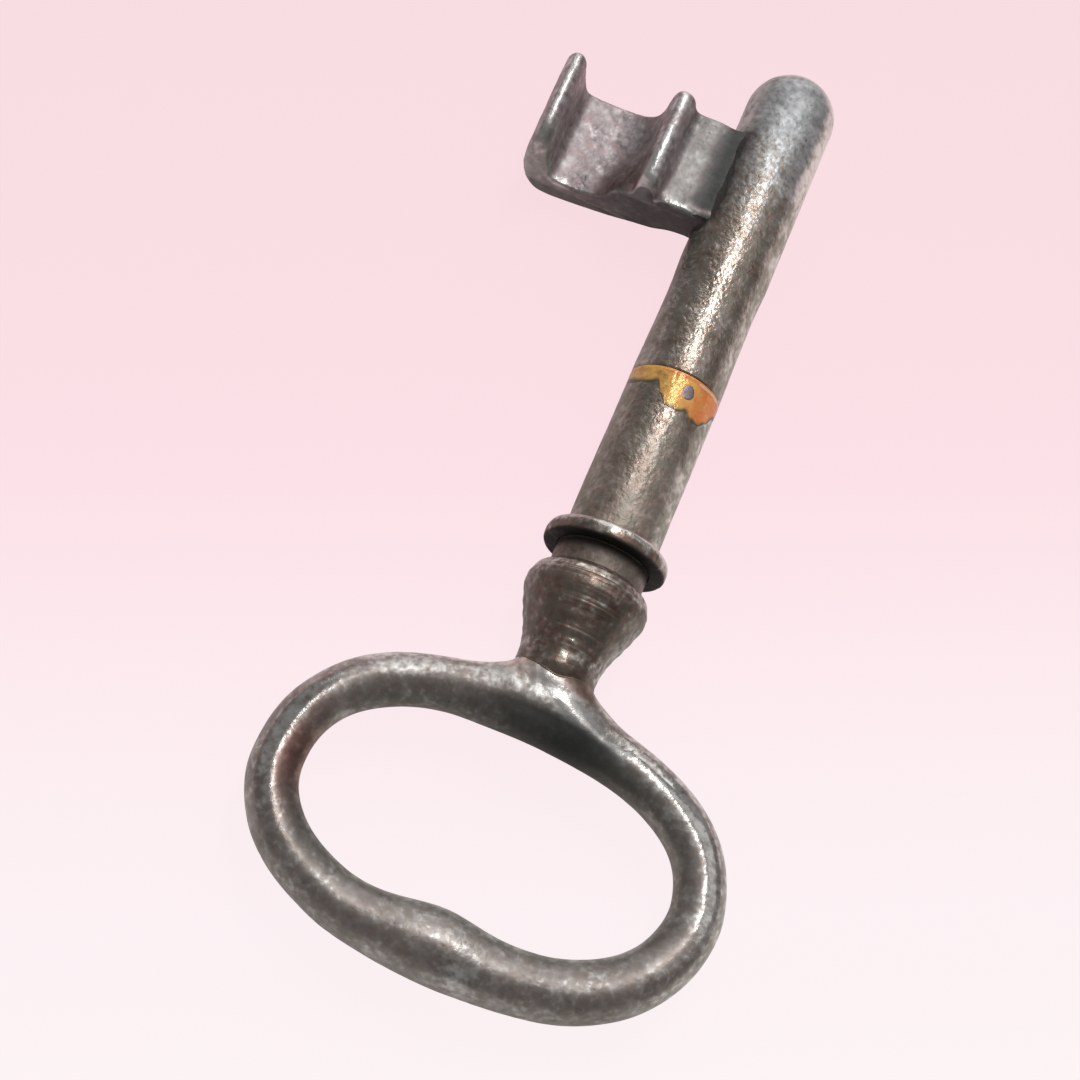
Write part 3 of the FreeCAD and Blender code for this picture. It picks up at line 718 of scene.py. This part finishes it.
def bow_line(rows):
    """The middle of the bow's bar: an oval |x / a|^p + |y / b|^p = 1 with a taller upper
    half, at places that lie close together beside the stem and evenly elsewhere. Gives the
    points, the way out, the length along from the top, and the share of the reach."""
    turn = np.linspace(0, 2 * np.pi, 20001)
    s, c = np.sin(turn), np.cos(turn)
    x = HALF_WIDTH * np.sign(s) * np.abs(s) ** (2 / OVAL_POWER)
    share = np.sign(c) * np.abs(c) ** (2 / OVAL_POWER)
    y = share * np.where(c > 0, UPPER_REACH, LOWER_REACH)
    length = np.concatenate([[0], np.cumsum(np.hypot(np.diff(x), np.diff(y)))])
    whole = length[-1]
    dense = 1 + 3.2 * bell(np.minimum(length, whole - length), 8.0)
    weight = np.concatenate([[0], np.cumsum(np.diff(length) * dense[1:])])
    even = np.linspace(0, weight[-1], rows, endpoint=False)
    along = np.interp(even, weight, length)
    at = lambda places: spots(*(np.interp(places, length, line) for line in (x, y)))
    way = unit(at((along + 0.02) % whole) - at((along - 0.02) % whole))
    out = spots(-way[:, 1], way[:, 0])
    return at(along), out, along / whole, np.interp(along, length, share), whole


def beside_line(points, corners):
    """How far points lie from a line with straight legs between its corners, and how far
    along it the nearest place is."""
    gap, along, walked = np.full(points.shape[:2], np.inf), np.zeros(points.shape[:2]), 0.0
    for start, end in zip(corners, corners[1:]):
        length = np.linalg.norm(end - start)
        way = (end - start) / length
        passed = np.clip((points - start) @ way, 0, length)
        distance = np.linalg.norm(points - start - passed[..., None] * way, axis=-1)
        along = np.where(distance < gap, walked + passed, along)
        gap = np.minimum(gap, distance)
        walked += length
    return gap, along


def make_bow():
    """The forged bow: from each point of the bar's middle, rays run out in the plane across
    the bar until they leave the shape. The shape is the smooth union of the bar, a softly
    faceted round that swells at the far middle and at the saddle, and of the stem, an oval
    column that spreads from the baluster's foot into the saddle."""
    points, out, shares, reach, whole = bow_line(760)
    # A bell at a share of the way round, with a run in millimetres.
    here = lambda place, run: bell(((shares - place + 0.5) % 1 - 0.5) * whole, run)
    shift = (
        0.95 * here(0, 5.6) + 0.35 * here(0.91, 7) - 0.25 * here(0.795, 5) - 0.18 * here(0.69, 5)
        + 0.15 * here(0.59, 4) - 0.5 * here(0.508, 5.5) + 0.15 * here(0.4, 4)
        - 0.24 * here(0.305, 5) + 0.2 * here(0.25, 2.5)
    )
    radius = (
        2.87 + 0.22 * reach**2 + 1.15 * here(0, 6.0) + 0.38 * here(0.36, 15)
        + 0.93 * here(0.508, 6.5)
    )
    points = points + out * shift[:, None]
    swing = circle(120)
    lean = through(shares, [
        (0, 36), (0.1, 42), (0.15, 47), (0.2, 33), (0.26, 24), (0.3, 34), (0.35, 21), (0.4, 22),
        (0.5, 30), (0.55, 27), (0.6, 17), (0.66, 12), (0.7, 20), (0.75, 29), (0.8, 27),
        (0.85, 12), (0.93, 33), (1, 36),
    ])
    power = [(0, 1.9), (0.1, 1.75), (0.3, 1.85), (0.7, 1.85), (0.9, 1.75), (1, 1.9)]
    power = through(shares, power)[:, None]
    height = 0.985 - 0.12 * here(0, 6.0) - 0.03 * here(0.508, 6.5)
    turned = swing + np.radians(lean)[:, None]
    bar = radius[:, None] / (
        np.abs(np.cos(turned)) ** power + np.abs(np.sin(turned) / height[:, None]) ** power
    ) ** (1 / power)
    for _ in range(7):
        bar = (np.roll(bar, 1, axis=1) + 2 * bar + np.roll(bar, -1, axis=1)) / 4
    spot = spots(points[:, 0], points[:, 1] + BOW_CENTRE, 0)
    ray = np.cos(swing)[:, None] * spots(out[:, 0], out[:, 1], 0)[:, None]
    ray = ray + np.sin(swing)[:, None] * np.array([0, 0, 1])

    def outside(reached):
        place = spot[:, None] + ray * reached[..., None]
        down = SADDLE - place[..., 1]
        half_wide, half_thick = stem_halves(down)
        ring = np.hypot(place[..., 0] / half_wide, place[..., 2] / half_thick)
        stem = (ring - 1) * half_thick
        stem = np.maximum(stem, np.maximum(-0.85 - down, down - 5.0))
        plain = reached - bar
        blend = 0.9
        mix = np.clip(0.5 + 0.5 * (stem - plain) / blend, 0, 1)
        return stem * (1 - mix) + plain * mix - blend * mix * (1 - mix)

    inner = np.zeros_like(bar)
    outer = np.full_like(bar, 14.0)
    near_stem = (np.abs(spot[:, 0]) < 14) & (spot[:, 1] > BOW_CENTRE)
    outer[~near_stem] = bar[~near_stem] + 1.0
    for _ in range(26):
        middle = (inner + outer) / 2
        gone = outside(middle) > 0
        outer = np.where(gone, middle, outer)
        inner = np.where(gone, inner, middle)
    reached = (inner + outer) / 2
    rows = spot[:, None] + ray * reached[..., None]
    rows = rows + ray * rough(rows, 71, 0.05, 0.010, 0.015)[..., None]
    top = ease(np.sin(swing) / 0.5)
    outer_side = ease((np.cos(swing) + 0.3) / 0.8)
    upper = ease((reach - 0.2) / 0.5)[:, None]
    left = ease((shares - 0.8) / 0.08)[:, None]
    wear = 0.22 + 0.1 * top + 0.3 * top * outer_side * upper * left + 0.18 * hills(rows, 3.2, 75)
    arms = np.maximum(bell(shares - 0.16, 0.1), bell(shares - 0.77, 0.065))[:, None]
    crest = arms * bell(np.cos(swing) - 0.25, 0.4) * top
    wear = wear + 0.7 * crest
    # A ridge runs from the joint down into the right arm's crest, rubbed white.
    gap, along = beside_line(rows[..., :2], RIDGE)
    above_floor = ease(rows[..., 2] / 2)
    ridge = bell(gap, through(along, [(6.9, 1.2), (9.0, 0.8)])) * above_floor
    rise = ridge * through(along, [(0, 0.09), (6.9, 0.44), (9.0, 0.36), (11.2, 0.08)])
    rows = rows + rise[..., None] * np.array([0, 0, 1])
    x, y, z = np.moveaxis(rows, -1, 0)
    shoulder = bell(np.hypot(x + 3.4, y + 72.2), 2.8) * above_floor
    rubbed = bell(np.hypot(x - 2.5, y + 103.5), 2.6) * above_floor
    wear = wear + 1.2 * ridge + 0.35 * shoulder + 0.6 * rubbed
    lumps = bell(np.hypot(x + 2.6, y + 72.4), 2.4) * (z > 0)
    rows = rows + ray * (lumps * (0.09 * hills(rows, 0.8, 77) - 0.03))[..., None]
    x, y, z = np.moveaxis(rows, -1, 0)
    # Painted shade on the bar's inner faces, more on the upper arms, on the lower arms' inner side
    # and at the saddle; the joint's right side is darkened too.
    inner_side = ease((0.2 - np.cos(swing)) / 0.5)
    upper = ease((reach + 0.55) / 0.6)[:, None]
    lower_inside = 0.26 * (1 - upper) + 0.3 * here(0.665, 7)[:, None]
    shelter = inner_side * (0.05 + 0.2 * upper + lower_inside + 0.72 * here(0.035, 10)[:, None])
    joint = ease((y - FOOT + 3.6) / 1.6) * ease((5.5 - np.abs(x)) / 1.0)
    beyond = ease((x - 0.9 * (FOOT - 1.5 - y)) / 0.9 - 0.2)
    stain = joint * (0.45 + 0.25 * beyond) * (1 - ridge) * above_floor
    rust = here(0.742, 7)[:, None] * inner_side
    stain = np.maximum(stain, 0.85 * rust)
    shelter = np.maximum(shelter, 0.35 * joint * beyond * (1 - ridge))
    # A painted reflection on the flanks, and painted shade on the left.
    rim, left = flanks(ray)
    shelter = np.maximum(shelter, left)
    matte = through(shares, [
        (0, 0.4), (0.03, 0.2), (0.08, 0.0), (0.2, 0.0), (0.28, 0.2), (0.35, 0.5), (0.42, 0.5),
        (0.47, 0.2), (0.55, 0.3), (0.63, 0.45), (0.7, 0.05), (0.8, 0.0), (0.84, 0.5), (0.88, 0.9),
        (0.97, 0.9), (1, 0.4),
    ])
    matte = matte[:, None] + 0.6 * inner_side * upper - 0.35 * crest + 0.1 * ridge
    return skin(
        "bow_forged", rows, "forged_bow", FORGED, "joined", wear=wear, shelter=shelter,
        rim=0.6 * rim, matte=matte * (1 - 0.8 * rim), stain=stain,
    )


# Bit

# The bit's outline seen along the shank, from its root outwards over the top, round the
# flange and back below: X and Z of points that a smooth curve runs through.
BIT_OUTLINE = [
    (-3.6, 3.05), (-5.6, 3.1), (-7.2, 3.3), (-8.5, 3.25), (-9.9, 3.3), (-10.6, 4.1), (-11.0, 5.6),
    (-11.6, 6.5), (-12.4, 6.75), (-13.1, 6.4), (-13.5, 5.3), (-13.7, 3.7), (-13.9, 2.0),
    (-14.2, 0.4), (-14.75, -0.95), (-15.8, -1.9), (-17.7, -2.4),
    (-20.4, -2.6), (-22.2, -2.55), (-23.1, -2.3), (-23.6, -1.6), (-23.95, 0.0),
    (-24.35, 2.2), (-24.65, 4.0), (-25.1, 4.85), (-25.8, 5.05), (-26.4, 4.7), (-26.85, 3.3),
    (-27.0, 0.3), (-26.9, -2.5), (-26.3, -4.8), (-25.0, -6.3), (-23.3, -6.7), (-21.0, -6.55),
    (-17.0, -5.9), (-13.0, -5.0), (-10.2, -3.9), (-8.0, -2.75), (-6.0, -2.35), (-3.6, -2.3),
]


def smooth_loop(knots, steps):
    """A closed smooth curve through knots (the cubic that leaves each knot along the line
    between its neighbours), at evenly spaced points."""
    knots = np.array(knots, float)
    before, after, later = (np.roll(knots, shift, axis=0) for shift in (1, -1, -2))
    part = np.linspace(0, 1, 40, endpoint=False)[None, :, None]
    a, b, c, d = (group[:, None] for group in (before, knots, after, later))
    curve = 0.5 * (
        2 * b + (c - a) * part + (2 * a - 5 * b + 4 * c - d) * part**2
        + (3 * b - a - 3 * c + d) * part**3
    )
    curve = curve.reshape(-1, 2)
    return run_along(np.vstack([curve, curve[:1]]), steps + 1)[:-1]


def make_bit():
    """The filed bit: its outline carried along Y and drawn in at both ends round worn
    edges: small ones along the channel and the shelf, large ones round the flange. The
    rib wears down towards the near end, and the flange's near corner is rounded off."""
    section = smooth_loop(BIT_OUTLINE, 620)
    way = np.roll(section, -1, axis=0) - np.roll(section, 1, axis=0)
    normal = unit(spots(way[:, 1], -way[:, 0]))
    if (section * normal).sum() < 0:
        normal = -normal
    line_x, line_z = section.T
    ends = 1.7 * (1 - np.cos(np.linspace(0, np.pi / 2, 34)))
    places = np.concatenate([BIT_NEAR + ends, np.linspace(BIT_NEAR + 1.8, -1.8, 80), -ends[::-1]])
    below = ease((-normal[:, 1] - 0.1) / 0.6)
    flange = ease((-23.4 - line_x) / 0.8)
    thick = flange * ease((0.5 - line_z) / 6)
    soft = 0.38 + 0.7 * np.maximum(below * ease((-9 - line_x) / 4), thick)
    soft = np.maximum(soft, 0.38 + 0.45 * flange)
    soft_far = 0.38 + 0.25 * flange + 0.5 * bell(line_x + 12.3, 1.6)
    drawn = lambda reach, radius: radius - np.sqrt(
        np.maximum(radius**2 - np.clip(radius - reach, 0, radius) ** 2, 0)
    )
    inset = drawn((places - BIT_NEAR)[:, None], soft)
    inset = np.maximum(inset, drawn(-places[:, None], soft_far))
    places = np.concatenate([places[:1], places, places[-1:]])
    inset = np.concatenate([inset[:1] + 0.2, inset, inset[-1:] + 0.2])
    flat = section - normal * inset[..., None]
    x, z = flat[..., 0], flat[..., 1]
    from_near = (places - BIT_NEAR)[:, None]
    lowered = 1.3 * ease((7 - from_near) / 9.0) ** 2 + 1.1 * ease((1.4 - from_near) / 1.4) ** 2
    rib = ease((z - 0.5) / 4.0) * ease((-9.6 - x) / 1.5) * ease((x + 18) / 2)
    corner = 3.6
    cut = drawn(from_near, corner) * ease((-23.2 - x) / 1.2)
    # Towards the near end the rib's outer side is worn down into a slope.
    slope = ease((4.8 - z) / 5) * ease((-13.0 - x) / 0.6)
    slope = slope * np.clip((x + 22.2) / 4.6, 0, 1) * (z > -3.2)
    z = z - lowered * rib - cut * ease((z + 1.0) / 7.0)
    x = x - 1.8 * slope * ease((9 - from_near) / 8)
    rows = spots(x, places[:, None], z)
    side = spots(normal[:, 0], 0, normal[:, 1])
    bare = ease((np.hypot(x, z) - (BARREL_RADIUS + 0.3)) / 0.5) * ease((from_near + 0.05) / 0.3)
    push = rough(rows, 81, 0.07, 0.03, 0.05) * bare
    rows = rows + side * push[..., None]
    x, z = rows[..., 0], rows[..., 2]
    facing_up = ease((normal[:, 1] - 0.3) / 0.5)
    near_edge = bell(from_near - 0.25, 0.55) * facing_up * (line_x < -5.6)
    # The edges of the channel, the shelf and the rib's tip are rubbed bare.
    worn = bell(line_x + 21.6, 2.0) + bell(line_x + 7.2, 2.2) + 1.2 * bell(line_x + 13.0, 1.0)
    crest = 1.3 * bell(line_x + 12.5, 1.1) + bell(line_x + 25.8, 0.8)
    crest = crest * (normal[:, 1] > 0) * (0.6 + 0.5 * hills(rows, 2.6, 86))
    crest = crest + bell(line_x + 13.3, 0.9) * ease((3.5 - from_near) / 2.5)
    wear = 0.2 + 0.95 * near_edge * np.clip(worn, 0, 1) + 0.8 * crest
    wear = wear + 0.3 * hills(rows, 2.0, 85)
    # Painted shade on the near face, on the shelf towards the root and in its near corner by the
    # barrel, under the bit's lower faces, and in the channel beside the rib, where it is also
    # tinged brown.
    near_face_shade = ease((0.12 - from_near) / 0.12) * (0.85 - 0.75 * ease((-13.5 - x) / 10))
    on_shelf = ease((line_x + 10.4) / 0.6) * facing_up
    root = ease((line_x + 8.0) / 2.8) * facing_up
    root_corner_shade = 0.85 * root * ease((1.2 - from_near) / 0.9)
    shelf = on_shelf * ease((from_near - 0.6) / 1.0) * (0.15 + 0.75 * root)
    rounded = ease((1.6 - from_near) / 1.2) * below
    shade_beside_rib = ease((-13.0 - x) / 0.6) * ease((x + 18.6) / 2.6) * (z > -3.4)
    stain = shade_beside_rib * ease((7 - from_near) / 6) * ease((from_near - 0.05) / 0.3)
    shelter = np.maximum(near_face_shade, np.maximum(shelf, root_corner_shade))
    shelter = np.maximum(shelter, 0.6 * np.maximum(rounded, below))
    shelter = np.maximum(shelter, shade_beside_rib * (0.25 + 0.35 * ease((5.5 - from_near) / 5)))
    # The rim is a painted reflection of the pale floor, on the flange's near corner and on the
    # shelf.
    rim = ease((1.9 - from_near) / 1.5) * ease((-19 - x) / 5) * (1 - facing_up)
    outer_corner = 0.75 * ease((5.5 - from_near) / 4) * ease((-23.6 - x) / 1.2)
    rim = np.maximum(0.8 * np.maximum(rim, outer_corner), 0.35 * on_shelf * (1 - root))
    return skin(
        "bit_filed", rows, "bit_steel", FILED, "flat",
        wear=wear, shelter=shelter, rim=rim, stain=0.7 * stain,
    )


def make_root_beads():
    """The beads of brazing metal in the corners of the bit's root, above, below and at the
    near end: hollow fillets that leave the barrel along its surface and run out on the
    bit's face, and that shrink at both ends."""
    t = np.linspace(0, 1, 14)[None, :, None]
    share = np.linspace(0, 1, 90)
    size = np.minimum(ease(share * 10), ease((1 - share) * 10)) + 0.03
    size = size * (0.85 + 0.15 * np.sin(share * 17) * np.cos(share * 7 + 1))
    barrel = BARREL_RADIUS - 0.02

    def bead(name, on_barrel, corner, on_face, inside, tone):
        """A fillet: the curve from the barrel to the face that the corner draws in."""
        ends = (on_barrel[:, None], corner[:, None], on_face[:, None])
        curve = (1 - t) ** 2 * ends[0] + 2 * t * (1 - t) * ends[1] + t**2 * ends[2]
        # Both ends go on a little way and sink, so that no edge shows.
        rows = [curve, inside[:, None]]
        for end, steps in ((0, [0.5, 0.3, 0.15]), (2, [0.15, 0.3, 0.5])):
            way = unit(ends[end] - ends[1])
            sink = unit(inside[:, None] - ends[end])
            on = np.array(steps)[:, None]
            rows.insert(end, ends[end] + way * on + sink * 0.6 * on**2)
        rows = np.concatenate(rows, axis=1)
        marks = tone + 0.3 * hills(rows, 1.5, 91)
        return skin(name, rows, "root_braze", SHADED_ROOT_BRAZE, tone=marks, thin=0 * marks)

    beads = []
    for name, face, side, climb, width in (
        ("upper", 3.1, 1, 1.2, 1.3), ("lower", 2.35, -1, 0.75, 0.75),
    ):
        turn = math.asin(face / barrel) + climb * size / barrel
        rise = barrel * np.sin(turn) - face
        places = BIT_NEAR + 0.1 + (-BIT_NEAR - 0.2) * share
        flat = lambda x, z: spots(x, places, side * z)
        on_barrel = flat(-barrel * np.cos(turn), barrel * np.sin(turn))
        reach = -barrel * np.cos(turn) - rise * np.tan(turn)
        corner = flat(reach, face - 0.03)
        on_face = flat(reach - width * size, face - 0.16)
        inside = flat(reach + 0.5, face - 0.4)
        beads.append(bead(f"root_bead_{name}", on_barrel, corner, on_face, inside, 0.2))
    height = -2.2 + 5.5 * share
    out = spots(-np.sqrt(barrel**2 - height**2), 0, height)
    corner = out + np.array([0, BIT_NEAR + 0.03, 0])
    out = out / barrel
    width = size[:, None]
    on_barrel = corner - width * np.array([0, 1, 0])
    on_face = corner + width * out
    inside = corner - 0.4 * out + np.array([0, 0.3, 0])
    beads.append(bead("root_bead_near", on_barrel, corner, on_face, inside, 0.0))
    return beads


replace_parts(make_front_shank(), "front_shank")
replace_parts(make_rear_shank(), "rear_shank")
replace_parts(make_seam_braze(), "shank_braze")
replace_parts(make_cross_pin(), "cross_pin")
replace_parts(make_collar(), "collar")
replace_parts(make_baluster(), "baluster")
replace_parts(make_bow_braze(), "bow_braze")
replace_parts(make_bow(), "bow")
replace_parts(make_bit(), "bit")
for bead in make_root_beads():
    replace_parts(bead, "bit_braze")


# Camera

AIM = Vector((-7.238, -56.389, 0.0)) * MM
EYE = Vector((-6.700, -148.175, 235.489)) * MM
ROLL = math.radians(23.196)
LENS = 76.4375

forward = (AIM - EYE).normalized()
level = forward.cross(Vector((0, 0, 1))).normalized()
above = level.cross(forward)
right = level * math.cos(ROLL) + above * math.sin(ROLL)
up = above * math.cos(ROLL) - level * math.sin(ROLL)
camera_data = bpy.data.cameras.new("camera")
camera_data.sensor_width = 36
camera_data.lens = LENS
camera_data.clip_start = 0.01
camera_data.clip_end = 20
camera = bpy.data.objects.new("camera", camera_data)
turned = Matrix((right, up, -forward)).transposed().to_4x4()
camera.matrix_world = Matrix.Translation(EYE) @ turned
bpy.context.scene.collection.objects.link(camera)
bpy.context.scene.camera = camera


# Floor and light

FLOOR_HEIGHT = min(low[name][2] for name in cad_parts) - 0.1

# The pale rose paper grows lighter towards the near side: shares of the picture's height
# from its top, and the paper's colour there.
PAPER = [
    (0.0, "#fadfe4"), (0.28, "#fce1e6"), (0.45, "#fee4ea"), (0.6, "#ffecf0"), (0.75, "#fff2f5"),
    (1.0, "#fff6f8"),
]


def paper_place(share):
    """Where a level of the picture meets the floor, measured along the picture's upward
    way over the floor: its ray, followed down to the floor's height."""
    half = camera_data.sensor_width / camera_data.lens / 2
    ray = forward + up * half * (1 - 2 * share)
    spot = EYE + ray * ((FLOOR_HEIGHT * MM - EYE.z) / ray.z)
    return spot.dot(over_floor)


over_floor = Vector((up.x, up.y, 0)).normalized()
far_end, near_end = paper_place(0.0), paper_place(1.0)

paper, tree = new_material("rose_paper")
place = add(tree, "TexCoord", output="Object")
along = add(tree, "VectorMath", {0: place, 1: over_floor}, "Value", operation="DOT_PRODUCT")
level_share = {"Value": along, "From Min": far_end, "From Max": near_end}
level_share = add(tree, "MapRange", level_share, "Result")
stops = [((paper_place(share) - far_end) / (near_end - far_end), colour) for share, colour in PAPER]
tint = add(tree, "ValToRGB", {"Fac": level_share}, "Color", stops)
seen = add(tree, "LightPath").outputs
# The camera sees the paper at its own paleness; the key mirrors more of its shadow.
PALE_SHARE, PALE_IN_METAL = 0.945, 0.4
mirrored = {0: seen["Is Glossy Ray"], 1: seen["Is Transmission Ray"]}
mirrored = add(tree, "Math", mirrored, 0, operation="MAXIMUM")
mirrored = add(tree, "Math", {0: mirrored, 1: PALE_IN_METAL}, 0, operation="MULTIPLY")
pale = {0: seen["Is Camera Ray"], 1: PALE_SHARE, 2: mirrored}
pale = add(tree, "Math", pale, 0, operation="MULTIPLY_ADD")
glow = add(tree, "Emission", {"Color": tint, "Strength": 1.0}, 0)
sheet = add(tree, "BsdfDiffuse", {"Color": tint, "Roughness": 0.0}, 0)
surface = add(tree, "MixShader", {0: pale, 1: sheet, 2: glow}, 0)
add(tree, "OutputMaterial", {"Surface": surface})

HALF_FLOOR = 3.0
floor_mesh = bpy.data.meshes.new("floor")
floor_mesh.from_pydata(
    [
        (HALF_FLOOR * x, HALF_FLOOR * y, FLOOR_HEIGHT * MM)
        for x, y in ((-1, -1), (1, -1), (1, 1), (-1, 1))
    ],
    [],
    [(0, 1, 2, 3)],
)
floor_mesh.materials.append(paper)
floor = bpy.data.objects.new("floor", floor_mesh)
bpy.context.scene.collection.objects.link(floor)


def soft_lamp(name, way, distance, size, radiance):
    """A square or oblong soft box that faces the key, at a distance along a way from it."""
    lamp = bpy.data.lights.new(name, "AREA")
    lamp.shape = "RECTANGLE"
    lamp.size, lamp.size_y = size
    lamp.energy = radiance * math.pi * size[0] * size[1]
    holder = bpy.data.objects.new(name, lamp)
    way = Vector(way).normalized()
    centre = Vector((0, -45, 0)) * MM
    holder.location = centre + way * distance
    holder.rotation_euler = (-way).to_track_quat("-Z", "Y").to_euler()
    bpy.context.scene.collection.objects.link(holder)


soft_lamp("key_softbox", (0.03, 0.40, 0.90), 0.9, (0.14, 0.36), 15.0)
soft_lamp("fill_panel", (-0.12, 0.85, 0.50), 1.4, (1.3, 1.0), 1.2)
soft_lamp("side_panel", (0.55, 0.36, 0.75), 1.4, (0.9, 0.9), 0.45)

world = bpy.data.worlds.new("studio")
bpy.context.scene.world = world
world.use_nodes = True
tree = world.node_tree
tree.nodes.clear()
room = add(tree, "Background", {"Color": linear("#7c7c7c"), "Strength": 1.0}, 0)
add(tree, "OutputWorld", {"Surface": room})

bpy.context.scene.view_settings.view_transform = "Standard"
